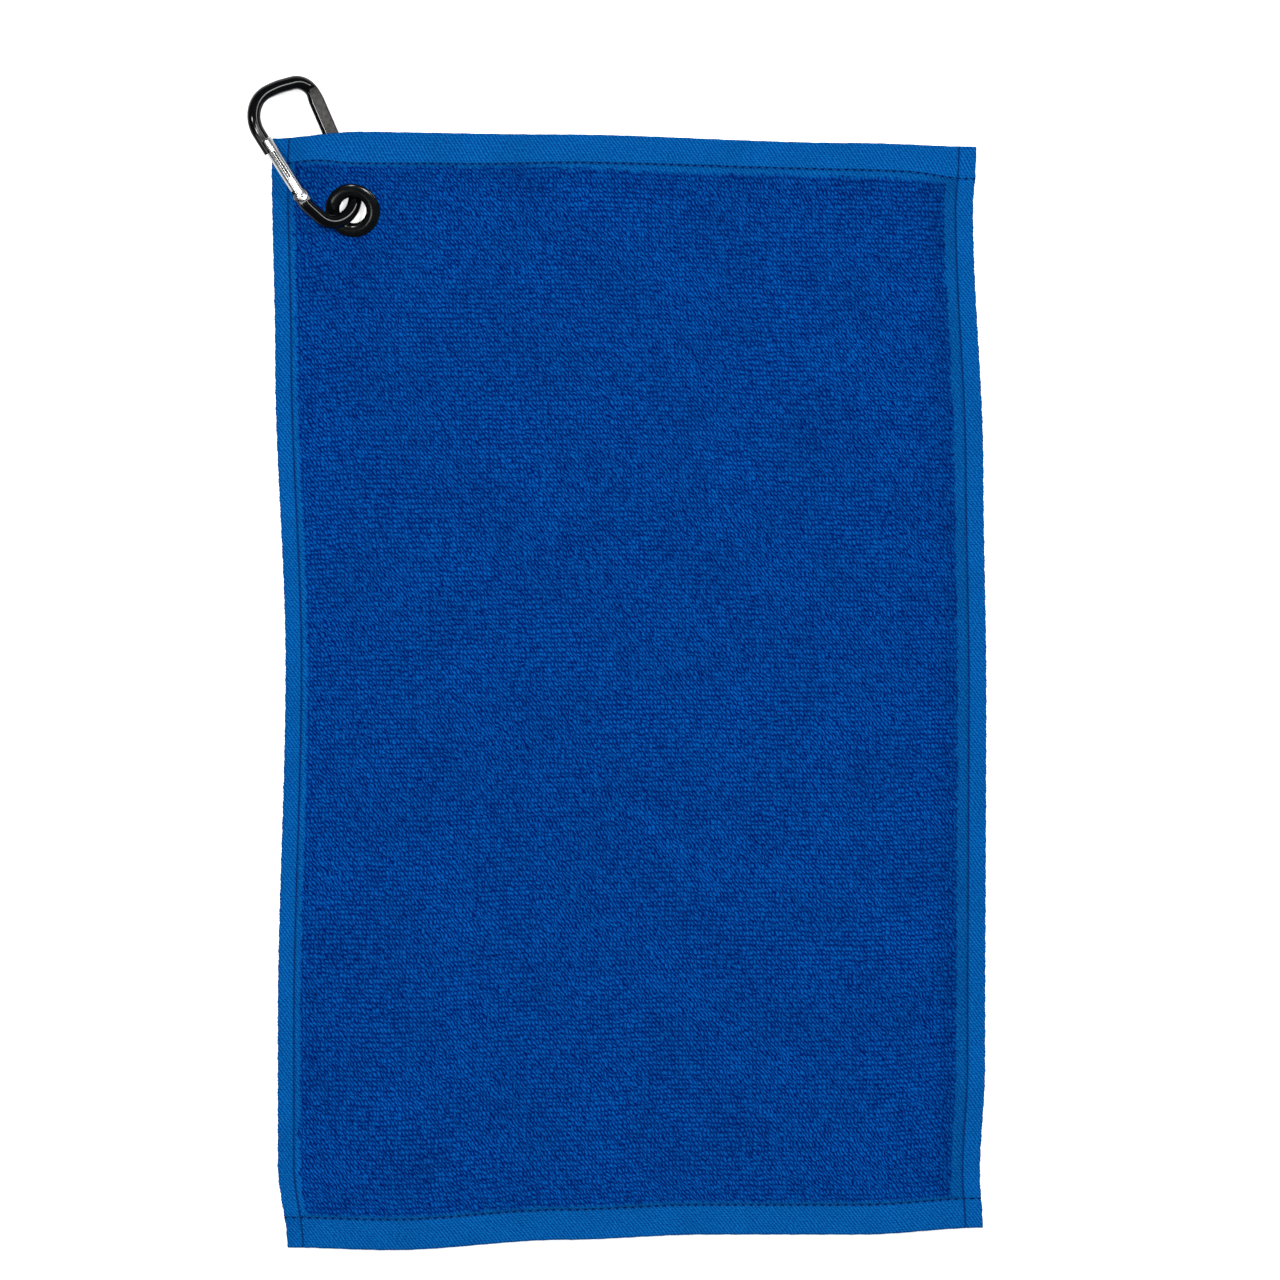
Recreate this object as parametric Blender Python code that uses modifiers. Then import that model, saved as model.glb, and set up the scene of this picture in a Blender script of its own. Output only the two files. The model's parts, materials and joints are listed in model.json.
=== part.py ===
"""Golf towel laid out flat: a terry panel with four folded hems, a plastic grommet and a snap carabiner.

The carabiner passes through the grommet: its gate lies in front of the towel and its spine behind it.
+Y points at the towel's top edge, +Z up from the surface it lies on, the origin is under the middle.
"""

import math

import bmesh
import bpy
from mathutils import Matrix, Vector

MM = 0.001
GAP = 0.3 * MM

# Towel
TOWEL_WIDTH = 406.4 * MM
TOWEL_LENGTH = 635.0 * MM
PANEL_THICKNESS = 2.8 * MM
HEM_THICKNESS = 2.2 * MM
HEM_TOP = 16.0 * MM
HEM_BOTTOM = 17.2 * MM
HEM_LEFT = 9.3 * MM
HEM_RIGHT = 10.2 * MM
SEAM_GROOVE = 1.2 * MM
THREAD_WIDTH = 0.6 * MM
THREAD_BOTTOM = 0.5 * MM
THREAD_TOP = 1.8 * MM

# How far each edge of the relaxed cloth wanders from its straight line, outwards or up, in mm, against the
# position along the edge from -1 to 1
TOP_EDGE = ((-1.0, 2.0), (-0.75, 6.0), (-0.2, 4.5), (0.65, -0.5), (1.0, -2.5))
BOTTOM_EDGE = ((-1.0, -5.5), (-0.7, -7.0), (-0.2, -1.0), (0.2, 2.0), (0.65, 2.0), (1.0, 6.0))
LEFT_EDGE = ((-1.0, 4.0), (-0.85, -1.5), (-0.6, -1.5), (0.05, 3.0), (0.6, -3.0), (0.95, -5.0), (1.0, -4.2))
RIGHT_EDGE = ((-1.0, 0.6), (-0.9, -1.0), (-0.7, 2.0), (0.0, 2.7), (0.4, 1.0), (0.88, -5.0), (1.0, -3.0))

# Grid lines of the cloth: close together round the carabiner, wide apart elsewhere
FINE_STEP = 5.0 * MM
COARSE_STEP = 46.0 * MM
FINE_REACH = 62.0 * MM

# Grommet
GROMMET_CENTRE = Vector((-161.0, 278.0, 7.2)) * MM
GROMMET_RADIUS = 16.0 * MM
GROMMET_HOLE = 7.9 * MM
GROMMET_CREST = 2.5 * MM
GROMMET_FOOT = -2.1 * MM
BARREL_RADIUS = 10.4 * MM
CLAMPED_THICKNESS = 1.9 * MM
CLOTH_HOLE = 11.3 * MM
WASHER_RADIUS = 15.6 * MM
WASHER_HOLE = 11.1 * MM
GROMMET_TILT = math.radians(19.0)
GROMMET_UPHILL = math.radians(37.0)
FLAT_RADIUS = 21.0 * MM
BLEND_RADIUS = 50.0 * MM
TILT_REACH = 18.0 * MM

# The ridge that the spine holds the cloth up to, wide enough for the carabiner's swing
RIDGE_HEIGHT = 7.4 * MM
RIDGE_FALL = 28.0 * MM
RIDGE_SPREAD = math.radians(10.5)
RIDGE_LEAN = math.radians(4.5)
RIDGE_HALF_WIDTH = 5.5 * MM
RIDGE_START = -25.0 * MM

# Carabiner, in its own plane: u across from the gate to the spine, v along the spine, w out of the plane
CARABINER_HEADING = math.radians(23.5)
CARABINER_TILT = math.radians(27.0)
CARABINER_HEIGHT = 6.65 * MM
SPINE_U = 6.5
# Corners of the frame's centre line and their bend radii, in mm
FRAME_PATH = (
    (-27.4, 19.2, 0.0),
    (-26.4, 13.4, 14.0),
    (-18.2, -2.6, 11.5),
    (SPINE_U, -2.6, 16.5),
    (SPINE_U + 0.1, 80.2, 11.0),
    (-13.0, 82.6, 45.0),
    (-39.4, 81.4, 17.5),
    (-33.9, 49.5, 0.0),
)
ROD_HALF = Vector((4.0, 3.4)) * MM
SPINE_HALF = Vector((4.3, 2.7)) * MM
SPINE_SPAN = (7.0 * MM, 66.0 * MM)
SPINE_BLEND = 8.0 * MM
SPINE_FREE_HALF = 4.9 * MM
SPINE_WIDENS = (28.0 * MM, 38.0 * MM)
ROD_SIDES = 14
ROD_STEP = 2.6

# Gate, in its own axes: x inwards, y from the pivot to its free end, z out of the carabiner's plane
GATE_PIVOT = Vector((-27.4, 19.2, 0.0)) * MM
GATE_LEAN = math.radians(9.9)
GATE_RADIUS = 3.5 * MM
GATE_LENGTH = 38.6 * MM
GATE_BORE = 2.2 * MM
GATE_BORE_END = 33.0 * MM
WINDOW_SPAN = (12.5 * MM, 31.0 * MM)
WINDOW_X = -1.35 * MM
WINDOW_HALF = 0.8 * MM
EAR_SLOT_HALF = 1.75 * MM
EAR_SLOT_END = 4.9 * MM
TONGUE_HALF = Vector((3.9, 1.4)) * MM
SHOULDER = -4.3 * MM
RIVET_RADIUS = 1.0 * MM
RIVET_HEAD_RADIUS = 1.9 * MM
RIVET_HEAD = 0.6 * MM
PLUNGER_RADIUS = 1.6 * MM
PLUNGER_SPAN = (4.3 * MM, 9.0 * MM)
SPRING_RADIUS = 1.55 * MM
SPRING_WIRE = 0.25 * MM
SPRING_TURNS = 13
SPRING_SPAN = (9.6 * MM, 32.4 * MM)


def clear_scene():
    for old in list(bpy.data.objects):
        bpy.data.objects.remove(old, do_unlink=True)


def new_collection(name):
    collection = bpy.data.collections.new(name)
    bpy.context.scene.collection.children.link(collection)
    return collection


def material(name, color, roughness, metallic=0.0):
    made = bpy.data.materials.new(name)
    made.use_nodes = True
    made.diffuse_color = (*color, 1.0)
    shader = made.node_tree.nodes["Principled BSDF"]
    shader.inputs["Base Color"].default_value = (*color, 1.0)
    shader.inputs["Roughness"].default_value = roughness
    shader.inputs["Metallic"].default_value = metallic
    return made


def add_object(name, mesh, collection, finish=None, parent=None):
    made = bpy.data.objects.new(name, mesh)
    collection.objects.link(made)
    if finish:
        mesh.materials.append(finish)
    if parent:
        made.parent = parent
    return made


def mesh_from(bm, name, smooth_angle=None):
    bmesh.ops.recalc_face_normals(bm, faces=bm.faces[:])
    mesh = bpy.data.meshes.new(name)
    bm.to_mesh(mesh)
    bm.free()
    if smooth_angle:
        mesh.shade_smooth()
        mesh.set_sharp_from_angle(angle=math.radians(smooth_angle))
    return mesh


def empty(name, collection, location=(0, 0, 0), rotation=(0, 0, 0), parent=None):
    made = bpy.data.objects.new(name, None)
    made.empty_display_size = 0.01
    collection.objects.link(made)
    made.location = location
    made.rotation_euler = rotation
    made.parent = parent
    return made


# Cloth


def smooth_step(value):
    value = min(1.0, max(0.0, value))
    return value * value * (3.0 - 2.0 * value)


def along_edge(points, position):
    """The edge's wander in metres, eased from one of its points to the next."""
    for (start, low), (end, high) in zip(points, points[1:]):
        if position <= end:
            return (low + (high - low) * smooth_step((position - start) / (end - start))) * MM
    return points[-1][1] * MM


def towel_point(a, b):
    """The point of the laid towel at a across and b along, each from -1 to 1."""
    left = -TOWEL_WIDTH / 2 + along_edge(LEFT_EDGE, b)
    right = TOWEL_WIDTH / 2 + along_edge(RIGHT_EDGE, b)
    bottom = -TOWEL_LENGTH / 2 + along_edge(BOTTOM_EDGE, a)
    top = TOWEL_LENGTH / 2 + along_edge(TOP_EDGE, a)
    return left + (right - left) * (a + 1) / 2, bottom + (top - bottom) * (b + 1) / 2


def ridge_height(across, along):
    """The height over the spine: a plateau as wide as its swing, which falls away on both sides."""
    reach = max(0.0, along)
    beside = abs(across - SPINE_U * MM - reach * math.tan(RIDGE_LEAN))
    beside -= RIDGE_HALF_WIDTH + reach * math.tan(RIDGE_SPREAD)
    return RIDGE_HEIGHT * (1 - smooth_step(beside / RIDGE_FALL)) * smooth_step(1 - along / RIDGE_START)


def cloth_underside(x, y):
    """The height of the cloth's back: flat on the floor, raised over the spine, tilted with the grommet."""
    offset = Vector((x, y)) - GROMMET_CENTRE.xy
    across_way = Vector((math.cos(CARABINER_HEADING), math.sin(CARABINER_HEADING)))
    along_way = Vector((-across_way.y, across_way.x))
    across = offset.dot(across_way)
    along = offset.dot(along_way)
    near = 1 - smooth_step((offset.length - FLAT_RADIUS) / (BLEND_RADIUS - FLAT_RADIUS))
    centre = GROMMET_CENTRE.z - CLAMPED_THICKNESS / 2 / math.cos(GROMMET_TILT)
    uphill = across * math.cos(GROMMET_UPHILL) + along * math.sin(GROMMET_UPHILL)
    uphill = min(TILT_REACH, max(-TILT_REACH * 1.2, uphill))
    height = centre * near + ridge_height(across, along) * (1 - near) + math.tan(GROMMET_TILT) * uphill * near
    touch = 0.3 * MM
    if height < touch:
        return max(0.0, height + touch) ** 2 / (4 * touch)
    return height


def cloth_thickness(x, y, full):
    clamped = CLAMPED_THICKNESS / math.cos(GROMMET_TILT)
    distance = (Vector((x, y)) - GROMMET_CENTRE.xy).length
    return clamped + (full - clamped) * smooth_step((distance - FLAT_RADIUS) / (6 * MM))


def grid_lines(start, end, centre, half_size):
    """Positions from start to end, FINE_STEP apart near the centre and COARSE_STEP apart elsewhere."""
    fine = FINE_REACH / half_size
    cuts = sorted({start, end, *[c for c in (centre - fine, centre + fine) if start < c < end]})
    lines = [start]
    for low, high in zip(cuts, cuts[1:]):
        close = abs((low + high) / 2 - centre) < fine
        step = (FINE_STEP if close else COARSE_STEP) / half_size
        count = max(1, round((high - low) / step))
        lines += [low + (high - low) * n / count for n in range(1, count + 1)]
    return lines


def cloth_sheet(name, a_lines, b_lines, low, high):
    """A closed sheet of cloth over a grid of lines, from low to high above the cloth's back."""
    bm = bmesh.new()
    columns = len(a_lines) - 1
    rows = len(b_lines) - 1
    bmesh.ops.create_grid(bm, x_segments=columns, y_segments=rows, size=1.0)
    back = bm.verts[:]
    for vert in back:
        a = a_lines[round((vert.co.x + 1) / 2 * columns)]
        b = b_lines[round((vert.co.y + 1) / 2 * rows)]
        vert.co.x, vert.co.y = towel_point(a, b)
        vert.co.z = 0.0
    made = bmesh.ops.extrude_face_region(bm, geom=bm.faces[:], use_keep_orig=True)
    front = {item for item in made["geom"] if isinstance(item, bmesh.types.BMVert)}
    for vert in bm.verts:
        x, y = vert.co.xy
        rise = high if vert in front else low
        vert.co.z = cloth_underside(x, y) + cloth_thickness(x, y, PANEL_THICKNESS) * rise / PANEL_THICKNESS
    return mesh_from(bm, name, 40)


def make_towel(parts, cutters):
    pile = material("terry_blue", (0.0, 0.047, 0.26), 0.95)
    weave = material("hem_blue", (0.001, 0.11, 0.39), 0.85)
    thread = material("thread_navy", (0.0, 0.02, 0.16), 0.7)
    half_width = TOWEL_WIDTH / 2
    half_length = TOWEL_LENGTH / 2
    seam_left = -1 + HEM_LEFT / half_width
    seam_right = 1 - HEM_RIGHT / half_width
    seam_bottom = -1 + HEM_BOTTOM / half_length
    seam_top = 1 - HEM_TOP / half_length
    groove_a = SEAM_GROOVE / 2 / half_width
    groove_b = SEAM_GROOVE / 2 / half_length
    thread_a = THREAD_WIDTH / 2 / half_width
    thread_b = THREAD_WIDTH / 2 / half_length
    centre_a = GROMMET_CENTRE.x / half_width
    centre_b = GROMMET_CENTRE.y / half_length

    across_panel = grid_lines(seam_left + groove_a, seam_right - groove_a, centre_a, half_width)
    along_panel = grid_lines(seam_bottom + groove_b, seam_top - groove_b, centre_b, half_length)
    across_all = [-1, seam_left - groove_a, *across_panel, seam_right + groove_a, 1]

    sheets = (
        ("terry_panel", across_panel, along_panel, 0.0, PANEL_THICKNESS, pile),
        ("hem_top", across_all, [seam_top + groove_b, (seam_top + 1) / 2, 1], 0.0, HEM_THICKNESS, weave),
        ("hem_bottom", across_all, [-1, seam_bottom - groove_b], 0.0, HEM_THICKNESS, weave),
        ("hem_left", [-1, seam_left - groove_a], along_panel, 0.0, HEM_THICKNESS, weave),
        ("hem_right", [seam_right + groove_a, 1], along_panel, 0.0, HEM_THICKNESS, weave),
        ("seam_thread_top", across_all, [seam_top - thread_b, seam_top + thread_b],
         THREAD_BOTTOM, THREAD_TOP, thread),
        ("seam_thread_bottom", across_all, [seam_bottom - thread_b, seam_bottom + thread_b],
         THREAD_BOTTOM, THREAD_TOP, thread),
        ("seam_thread_left", [seam_left - thread_a, seam_left + thread_a], along_panel,
         THREAD_BOTTOM, THREAD_TOP, thread),
        ("seam_thread_right", [seam_right - thread_a, seam_right + thread_a], along_panel,
         THREAD_BOTTOM, THREAD_TOP, thread),
    )
    made = {}
    for name, a_lines, b_lines, low, high, finish in sheets:
        mesh = cloth_sheet(name, a_lines, b_lines, low, high)
        made[name] = add_object(name, mesh, parts, finish)

    punch = cylinder("grommet_punch", CLOTH_HOLE, (-10 * MM, 10 * MM), cutters, 48)
    punch.matrix_world = grommet_matrix()
    cut(made["terry_panel"], punch)


# Round and cut pieces


def turned(name, profile, collection, finish, steps=44):
    """A ring turned about Z from a closed profile of (radius, height) points."""
    mesh = bpy.data.meshes.new(name)
    edges = [(n, (n + 1) % len(profile)) for n in range(len(profile))]
    mesh.from_pydata([(radius, 0.0, height) for radius, height in profile], edges, [])
    made = add_object(name, mesh, collection, finish)
    screw = made.modifiers.new("Turn", "SCREW")
    screw.axis = "Z"
    screw.steps = steps
    screw.render_steps = steps
    screw.use_merge_vertices = True
    screw.merge_threshold = 0.00001
    screw.use_smooth_shade = True
    return made


def arc(centre, radius, start, end, count):
    """Points on an arc from start to end degrees."""
    angles = [math.radians(start + (end - start) * n / count) for n in range(count + 1)]
    return [(centre[0] + radius * math.cos(a), centre[1] + radius * math.sin(a)) for a in angles]


def cylinder(name, radius, span, collection, sides=24, finish=None, parent=None, turn=None):
    """A closed cylinder along Z over a span of heights, or turned by a matrix."""
    bm = bmesh.new()
    depth = span[1] - span[0]
    middle = Matrix.Translation((0, 0, (span[0] + span[1]) / 2))
    bmesh.ops.create_cone(
        bm, cap_ends=True, segments=sides, radius1=radius, radius2=radius, depth=depth, matrix=middle
    )
    if turn:
        bmesh.ops.transform(bm, matrix=turn, verts=bm.verts[:])
    return add_object(name, mesh_from(bm, name, 40), collection, finish, parent)


def block(name, low, high, collection, parent=None):
    """A box from its low corner to its high corner."""
    bm = bmesh.new()
    bmesh.ops.create_cube(bm, size=1.0)
    low = Vector(low)
    high = Vector(high)
    size = high - low
    bmesh.ops.scale(bm, vec=size, verts=bm.verts[:])
    bmesh.ops.translate(bm, vec=(low + high) / 2, verts=bm.verts[:])
    return add_object(name, mesh_from(bm, name), collection, None, parent)


def combine(target, other, operation):
    step = target.modifiers.new(other.name, "BOOLEAN")
    step.object = other
    step.operation = operation
    step.solver = "EXACT"
    other.hide_render = True
    other.display_type = "WIRE"


def cut(target, other):
    combine(target, other, "DIFFERENCE")


def join(target, other):
    combine(target, other, "UNION")


# Grommet


def grommet_matrix():
    """The grommet's place: its axis leans away from the side that the spine holds up."""
    heading = CARABINER_HEADING + GROMMET_UPHILL
    turn = Matrix.Rotation(heading, 4, "Z") @ Matrix.Rotation(-GROMMET_TILT, 4, "Y")
    return Matrix.Translation(GROMMET_CENTRE) @ turn


def make_grommet(parts):
    plastic = material("grommet_black", (0.008, 0.009, 0.01), 0.22)
    half = CLAMPED_THICKNESS / 2 + GAP
    roll_radius = (GROMMET_CREST - GROMMET_FOOT) / 2
    roll_centre = (GROMMET_HOLE + roll_radius, (GROMMET_CREST + GROMMET_FOOT) / 2)
    crest = GROMMET_CREST
    flange = (
        (12.4 * MM, crest),
        (14.0 * MM, crest - 0.2 * MM),
        (15.2 * MM, crest - 0.6 * MM),
        (GROMMET_RADIUS, half + 0.35 * MM),
        (GROMMET_RADIUS - 0.3 * MM, half),
        (BARREL_RADIUS, half),
        (BARREL_RADIUS, -half),
        (BARREL_RADIUS + 0.3 * MM, GROMMET_FOOT + 0.3 * MM),
    )
    roll = arc(roll_centre, roll_radius, 270, 90, 10)
    front = turned("grommet_front", [*flange, *roll], parts, plastic)
    washer = (
        (WASHER_RADIUS - 0.3 * MM, -half),
        (WASHER_RADIUS, -half - 0.3 * MM),
        (WASHER_RADIUS - 0.4 * MM, GROMMET_FOOT),
        (WASHER_HOLE, GROMMET_FOOT),
        (WASHER_HOLE, -half),
    )
    back = turned("grommet_back", washer, parts, plastic)
    for ring in (front, back):
        ring.matrix_world = grommet_matrix()


# Carabiner


def rounded_path(corners, step):
    """Points along a path of straight runs and round bends, step apart, in mm."""
    points = [Vector(corners[0][:2])]
    for before, corner, after in zip(corners, corners[1:], corners[2:]):
        centre = Vector(corner[:2])
        back = (Vector(before[:2]) - centre).normalized()
        ahead = (Vector(after[:2]) - centre).normalized()
        half_angle = back.angle(ahead) / 2
        tangent = corner[2] / math.tan(half_angle)
        hub = centre + (back + ahead).normalized() * corner[2] / math.sin(half_angle)
        start = centre + back * tangent - hub
        sweep = start.angle_signed(centre + ahead * tangent - hub)
        count = max(2, round(abs(sweep) * corner[2] / step))
        straight(points, hub + start, step)
        for n in range(1, count + 1):
            points.append(hub + Matrix.Rotation(-sweep * n / count, 2) @ start)
    straight(points, Vector(corners[-1][:2]), step)
    return points


def straight(points, end, step):
    start = points[-1]
    count = max(1, round((end - start).length / step / 2))
    points += [start.lerp(end, n / count) for n in range(1, count + 1)]


def rod_half_sizes(u, v):
    """The rod's half width and half height: round in the bows, pressed flat along the spine."""
    low, high = SPINE_SPAN
    inside = smooth_step((v - low) / SPINE_BLEND) * smooth_step((high + SPINE_BLEND - v) / SPINE_BLEND)
    start, end = SPINE_WIDENS
    free = smooth_step((v - start) / (end - start))
    wide = SPINE_HALF.x + (SPINE_FREE_HALF - SPINE_HALF.x) * free
    return ROD_HALF.lerp(Vector((wide, SPINE_HALF.y)), inside if u > 0 else 0.0)


def swept_rod(name, path):
    """The frame's rod: elliptic rings along the path, bridged, with a flat cap at each end."""
    bm = bmesh.new()
    rings = []
    for n, point in enumerate(path):
        ahead = path[min(n + 1, len(path) - 1)] - path[max(n - 1, 0)]
        side = Vector((-ahead.y, ahead.x, 0)).normalized()
        centre = Vector((point.x, point.y, 0)) * MM
        wide, tall = rod_half_sizes(*centre.xy)
        ring = []
        for k in range(ROD_SIDES):
            angle = 2 * math.pi * (k + 0.5) / ROD_SIDES
            up = Vector((0, 0, tall * math.sin(angle)))
            ring.append(bm.verts.new(centre + side * wide * math.cos(angle) + up))
        rings.append(ring)
    edges = [[bm.edges.new((r[k], r[(k + 1) % ROD_SIDES])) for k in range(ROD_SIDES)] for r in rings]
    for lower, upper in zip(edges, edges[1:]):
        bmesh.ops.bridge_loops(bm, edges=lower + upper)
    bm.faces.new(rings[0])
    bm.faces.new(rings[-1])
    return mesh_from(bm, name, 40)


def make_carabiner(parts, cutters):
    black = material("carabiner_black", (0.006, 0.006, 0.007), 0.18)
    steel = material("rivet_steel", (0.55, 0.55, 0.56), 0.25, 1.0)
    chrome = material("gate_silver", (0.8, 0.8, 0.8), 0.12, 1.0)
    place = GROMMET_CENTRE.copy()
    place.z = CARABINER_HEIGHT
    plane = empty("carabiner_plane", parts, place, (0, CARABINER_TILT, CARABINER_HEADING))
    pivot = empty("gate_axis", parts, GATE_PIVOT, (0, 0, GATE_LEAN), plane)
    make_frame(parts, cutters, plane, pivot, black)
    make_gate(parts, cutters, pivot, chrome, steel)


def make_frame(parts, cutters, plane, pivot, finish):
    path = rounded_path(FRAME_PATH, ROD_STEP)
    frame = add_object("carabiner_frame", swept_rod("carabiner_frame", path), parts, finish, plane)
    wide, thin = TONGUE_HALF
    far = 12 * MM
    above = block("tongue_top_cut", (-far, SHOULDER, thin), (far, far, far), cutters, pivot)
    below = block("tongue_back_cut", (-far, SHOULDER, -far), (far, far, -thin), cutters, pivot)
    tip = block("tongue_tip_cut", (-far, 0, -far), (far, far, far), cutters, pivot)
    round_end = cylinder("tongue_round", wide, (-thin, thin), cutters, 24, None, pivot)
    nose = block(
        "nose_pocket", (-GATE_RADIUS - GAP, EAR_SLOT_END, -far), (far, GATE_LENGTH + GAP, far), cutters, pivot
    )
    hole = cylinder("frame_rivet_hole", RIVET_RADIUS + GAP, (-far, far), cutters, 20, None, pivot)
    for cutter in (above, below, tip, nose):
        cut(frame, cutter)
    join(frame, round_end)
    cut(frame, hole)


def make_gate(parts, cutters, pivot, chrome, steel):
    lengthwise = Matrix.Rotation(-math.pi / 2, 4, "X")
    far = 12 * MM
    gate = cylinder(
        "gate_sleeve", GATE_RADIUS, (0, GATE_LENGTH), parts, 20, chrome, pivot, lengthwise
    )
    heel = cylinder("gate_heel", GATE_RADIUS, (-GATE_RADIUS * 0.8, GATE_RADIUS * 0.8), cutters, 20, None, pivot)
    slot = block(
        "ear_slot", (-far, -far, -EAR_SLOT_HALF), (far, EAR_SLOT_END, EAR_SLOT_HALF), cutters, pivot
    )
    bore = cylinder(
        "gate_bore", GATE_BORE, (EAR_SLOT_END - 1 * MM, GATE_BORE_END), cutters, 16, None, pivot, lengthwise
    )
    window_low, window_high = WINDOW_SPAN
    window = block(
        "gate_window", (WINDOW_X - WINDOW_HALF, window_low, 0), (WINDOW_X + WINDOW_HALF, window_high, far),
        cutters, pivot
    )
    hole = cylinder("gate_rivet_hole", RIVET_RADIUS + GAP, (-far, far), cutters, 20, None, pivot)
    join(gate, heel)
    for cutter in (slot, bore, window, hole):
        cut(gate, cutter)

    head = GATE_RADIUS + GAP
    rivet_profile = (
        (0.0, head + RIVET_HEAD),
        (RIVET_HEAD_RADIUS - 0.4 * MM, head + RIVET_HEAD),
        (RIVET_HEAD_RADIUS, head + RIVET_HEAD - 0.4 * MM),
        (RIVET_HEAD_RADIUS, head),
        (RIVET_RADIUS, head),
    )
    mirrored = [(radius, -height) for radius, height in reversed(rivet_profile)]
    rivet = open_turned("gate_pivot_rivet", [*rivet_profile, *mirrored], parts, steel)
    rivet.parent = pivot
    cylinder("gate_plunger", PLUNGER_RADIUS, PLUNGER_SPAN, parts, 16, steel, pivot, lengthwise)
    make_spring(parts, pivot, steel)


def open_turned(name, profile, collection, finish):
    """A solid of revolution whose profile starts and ends on the axis."""
    made = turned(name, profile, collection, finish, 24)
    bm = bmesh.new()
    bm.from_mesh(made.data)
    loose = [e for e in bm.edges if all(abs(v.co.x) < 1e-9 for v in e.verts)]
    bmesh.ops.delete(bm, geom=loose, context="EDGES")
    bm.to_mesh(made.data)
    bm.free()
    return made


def make_spring(parts, pivot, finish):
    """The coil that pushes the plunger against the tongue and so closes the gate."""
    curve = bpy.data.curves.new("gate_spring", "CURVE")
    curve.dimensions = "3D"
    curve.bevel_depth = SPRING_WIRE
    curve.bevel_resolution = 1
    curve.use_fill_caps = True
    per_turn = 10
    count = SPRING_TURNS * per_turn + 1
    spline = curve.splines.new("POLY")
    spline.points.add(count - 1)
    start, end = SPRING_SPAN
    for n, point in enumerate(spline.points):
        angle = 2 * math.pi * n / per_turn
        height = start + (end - start) * n / (count - 1)
        point.co = (SPRING_RADIUS * math.cos(angle), height, SPRING_RADIUS * math.sin(angle), 1.0)
    spring = bpy.data.objects.new("gate_spring", curve)
    parts.objects.link(spring)
    curve.materials.append(finish)
    spring.parent = pivot


def main():
    clear_scene()
    parts = new_collection("golf_towel")
    cutters = new_collection("cutters")
    make_towel(parts, cutters)
    make_grommet(parts)
    make_carabiner(parts, cutters)
    bpy.context.view_layer.update()


main()
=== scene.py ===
import json
import math

import bmesh
import bpy
import numpy as np
from mathutils import Matrix, Vector


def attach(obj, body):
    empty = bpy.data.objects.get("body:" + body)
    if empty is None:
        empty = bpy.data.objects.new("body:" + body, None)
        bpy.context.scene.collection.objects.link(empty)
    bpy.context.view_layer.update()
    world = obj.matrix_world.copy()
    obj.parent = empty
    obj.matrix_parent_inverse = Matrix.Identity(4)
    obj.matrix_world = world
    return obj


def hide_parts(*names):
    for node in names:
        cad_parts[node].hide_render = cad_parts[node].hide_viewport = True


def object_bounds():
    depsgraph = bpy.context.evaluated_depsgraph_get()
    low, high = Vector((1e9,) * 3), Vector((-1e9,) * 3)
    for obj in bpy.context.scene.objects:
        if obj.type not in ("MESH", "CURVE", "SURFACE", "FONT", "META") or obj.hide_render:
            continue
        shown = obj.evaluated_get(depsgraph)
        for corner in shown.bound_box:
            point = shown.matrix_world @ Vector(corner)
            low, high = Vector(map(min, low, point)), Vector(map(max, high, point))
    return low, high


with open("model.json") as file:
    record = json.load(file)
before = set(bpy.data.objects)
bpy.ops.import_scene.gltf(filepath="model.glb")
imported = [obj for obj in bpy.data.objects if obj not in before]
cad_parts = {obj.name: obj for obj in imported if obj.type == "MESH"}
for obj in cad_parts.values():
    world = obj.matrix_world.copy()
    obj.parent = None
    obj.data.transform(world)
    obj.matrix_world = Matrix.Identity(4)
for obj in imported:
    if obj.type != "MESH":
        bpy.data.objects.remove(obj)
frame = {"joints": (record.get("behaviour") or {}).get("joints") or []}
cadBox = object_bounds()
mm = 0.001
joints = {joint["name"]: joint for joint in frame["joints"]}


# Small sums that the pieces share

def smoothStep(value):
    value = np.clip(value, 0.0, 1.0)
    return value * value * (3.0 - 2.0 * value)


def between(low, high, value):
    return smoothStep((value - low) / (high - low))


def hump(value, width):
    return np.exp(-(value / width) ** 2)


# Shader sums: a wire is one socket, and + - * / on it add Math nodes

class Wire:
    def __init__(self, shader, socket):
        self.shader = shader
        self.socket = socket

    def math(self, operation, *values):
        return self.shader.node("Math", {"operation": operation}, dict(enumerate(values)))

    def __add__(self, other):
        return self.math("ADD", self, other)

    def __radd__(self, other):
        return self.math("ADD", other, self)

    def __sub__(self, other):
        return self.math("SUBTRACT", self, other)

    def __rsub__(self, other):
        return self.math("SUBTRACT", other, self)

    def __mul__(self, other):
        return self.math("MULTIPLY", self, other)

    def __rmul__(self, other):
        return self.math("MULTIPLY", other, self)

    def __truediv__(self, other):
        return self.math("DIVIDE", self, other)

    def wave(self):
        # 0 at every whole number, 1 half way between them
        return 0.5 - 0.5 * self.math("COSINE", self * math.tau)

    def floor(self):
        return self.math("FLOOR", self)

    def larger(self, other):
        return self.math("MAXIMUM", self, other)

    def smaller(self, other):
        return self.math("MINIMUM", self, other)

    def rise(self, low, high):
        # 0 below low, 1 above high, eased between them
        settings = {"interpolation_type": "SMOOTHSTEP"}
        return self.shader.node("MapRange", settings, {0: self, 1: low, 2: high})


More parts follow.
